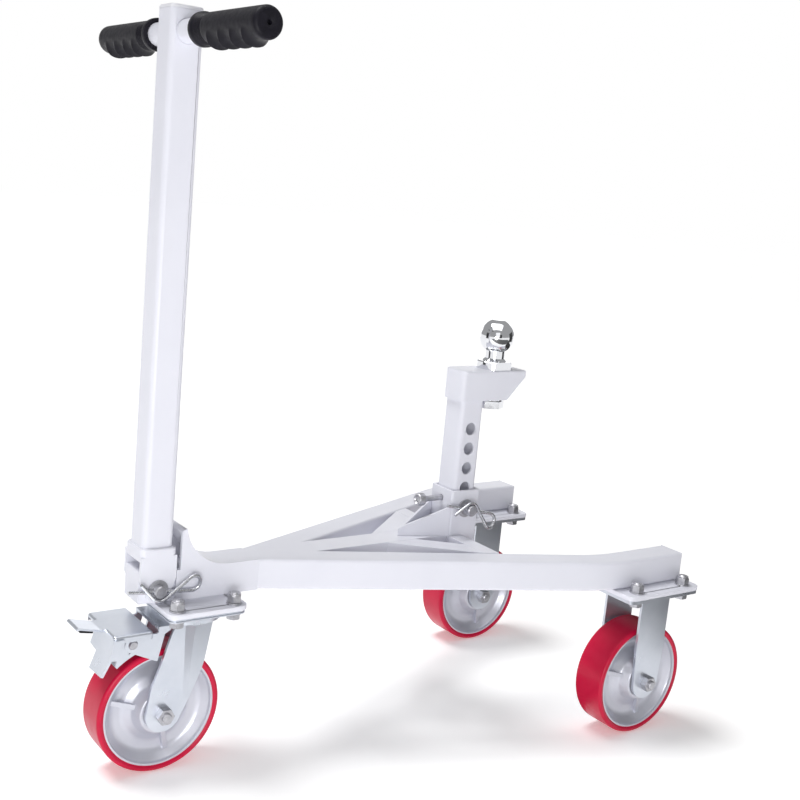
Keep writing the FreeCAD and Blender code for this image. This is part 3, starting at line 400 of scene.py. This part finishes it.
world = bpy.data.worlds.new("studio")
bpy.context.scene.world = world
world.use_nodes = True
seen = world.node_tree.nodes["Background"]
seen.inputs["Color"].default_value = (1.0, 1.0, 1.0, 1.0)
rays = world.node_tree.nodes.new("ShaderNodeLightPath")


def world_level(ray, otherwise, when_seen):
    """A brightness that depends on the kind of ray that reaches the world."""
    node = world.node_tree.nodes.new("ShaderNodeMapRange")
    node.inputs["To Min"].default_value = otherwise
    node.inputs["To Max"].default_value = when_seen
    world.node_tree.links.new(rays.outputs[ray], node.inputs["Value"])
    return node.outputs["Result"]


brightest = world.node_tree.nodes.new("ShaderNodeMath")
brightest.operation = "MAXIMUM"
world.node_tree.links.new(world_level("Is Camera Ray", WORLD_LEVEL, 1.0), brightest.inputs[0])
world.node_tree.links.new(world_level("Is Glossy Ray", WORLD_LEVEL, WORLD_SHEEN), brightest.inputs[1])
world.node_tree.links.new(brightest.outputs[0], seen.inputs["Strength"])


def softbox(name, place, target, size, power):
    data = bpy.data.lights.new(name, "AREA")
    data.shape = "RECTANGLE"
    data.size, data.size_y = size
    data.energy = power
    lamp = bpy.data.objects.new(name, data)
    lamp.location = place
    lamp.rotation_mode = "QUATERNION"
    lamp.rotation_quaternion = (Vector(target) - Vector(place)).to_track_quat("-Z", "Y")
    bpy.context.scene.collection.objects.link(lamp)


softbox("front", (-1.1, -2.0, 1.2), (-0.2, 0, 0.4), (1.2, 1.2), 3.5)
softbox("low_front", (-0.9, -1.25, 0.35), (-0.33, 0, 0.2), (0.5, 0.4), 8.0)

sun_data = bpy.data.lights.new("sun", "SUN")
sun_data.energy = SUN_STRENGTH
sun_data.angle = math.radians(SUN_SPREAD)
sun = bpy.data.objects.new("sun", sun_data)
sun.rotation_mode = "QUATERNION"
sun.rotation_quaternion = Vector(SUN_DIRECTION).to_track_quat("-Z", "Y")
bpy.context.scene.collection.objects.link(sun)


def studio_card(name, place, target, size, tone, glow):
    """A card that only polished surfaces see, to paint their reflections: a dark one paints a dark
    reflection, a white one glows, though it is no lamp, and paints a bright reflection.
    """
    half_w, half_h = size[0] / 2, size[1] / 2
    mesh = bpy.data.meshes.new(name)
    corners = [(-half_w, -half_h, 0), (half_w, -half_h, 0), (half_w, half_h, 0), (-half_w, half_h, 0)]
    mesh.from_pydata(corners, [], [(0, 1, 2, 3)])
    card = bpy.data.objects.new(name, mesh)
    card.location = place
    card.rotation_mode = "QUATERNION"
    card.rotation_quaternion = (Vector(target) - Vector(place)).to_track_quat("-Z", "Y")
    painted_reflection = Shader(name + "_cloth", (tone, tone, tone), roughness=0.9)
    painted_reflection.bsdf.inputs["Emission Color"].default_value = (1, 1, 1, 1)
    painted_reflection.bsdf.inputs["Emission Strength"].default_value = glow
    mesh.materials.append(painted_reflection.material)
    card.visible_camera = False
    card.visible_diffuse = False
    card.visible_shadow = False
    bpy.context.scene.collection.objects.link(card)


# Cards for painted reflections only: the dark ones paint dark reflections in the metal, card_sky and
# card_back glow, though they are no lamps, and paint bright reflections.
studio_card("card_right", (1.7, -0.6, 0.4), (0.1, 0, 0.35), (1.0, 1.2), 0.04, 0.0)
studio_card("card_camera", (-0.35, -2.3, 0.80), (0.15, 0, 0.5), (0.55, 0.9), 0.03, 0.0)
studio_card("card_floor", (0.0, -1.35, 0.02), (0.0, -1.35, 1.0), (3.4, 1.6), 0.12, 0.0)
studio_card("card_left", (-1.9, 0.5, 0.6), (0.1, 0, 0.5), (0.7, 1.2), 0.05, 0.0)
studio_card("card_sky", (-0.3, -0.5, 2.6), (0.1, 0, 0.4), (2.4, 2.0), 0.8, 0.9)
studio_card("card_low", (0.62, -0.08, 0.17), (-0.27, -0.04, 0.17), (0.7, 0.32), 0.03, 0.0)
studio_card("card_ground", (0.28, -0.07, 0.003), (0.28, -0.07, 1.0), (0.62, 0.16), 0.03, 0.0)
studio_card("card_back", (1.3, 2.6, 0.75), (0, 0, 0.3), (4.6, 1.5), 0.8, 0.85)

# ---------------------------------------------------------------- camera
CAMERA_PLACE = at(-621.4, -1260.2, 743.75)
CAMERA_YAW = math.radians(36.19)        # from +Y towards +X
CAMERA_PITCH = math.radians(10.47)      # below the horizon
CAMERA_ROLL = math.radians(5.38)
CAMERA_LENS = 52.61                     # mm

camera_data = bpy.data.cameras.new("camera")
camera_data.lens = CAMERA_LENS
camera_data.sensor_width = 36.0
camera_data.clip_start = 0.01
camera_data.clip_end = 60.0
camera = bpy.data.objects.new("camera", camera_data)
forward = Vector((math.sin(CAMERA_YAW) * math.cos(CAMERA_PITCH),
                  math.cos(CAMERA_YAW) * math.cos(CAMERA_PITCH), -math.sin(CAMERA_PITCH)))
camera.location = CAMERA_PLACE
camera.rotation_mode = "QUATERNION"
camera.rotation_quaternion = forward.to_track_quat("-Z", "Y") @ Quaternion((0, 0, 1), CAMERA_ROLL)
bpy.context.scene.collection.objects.link(camera)
bpy.context.scene.camera = camera
bpy.context.scene.view_settings.view_transform = "Standard"
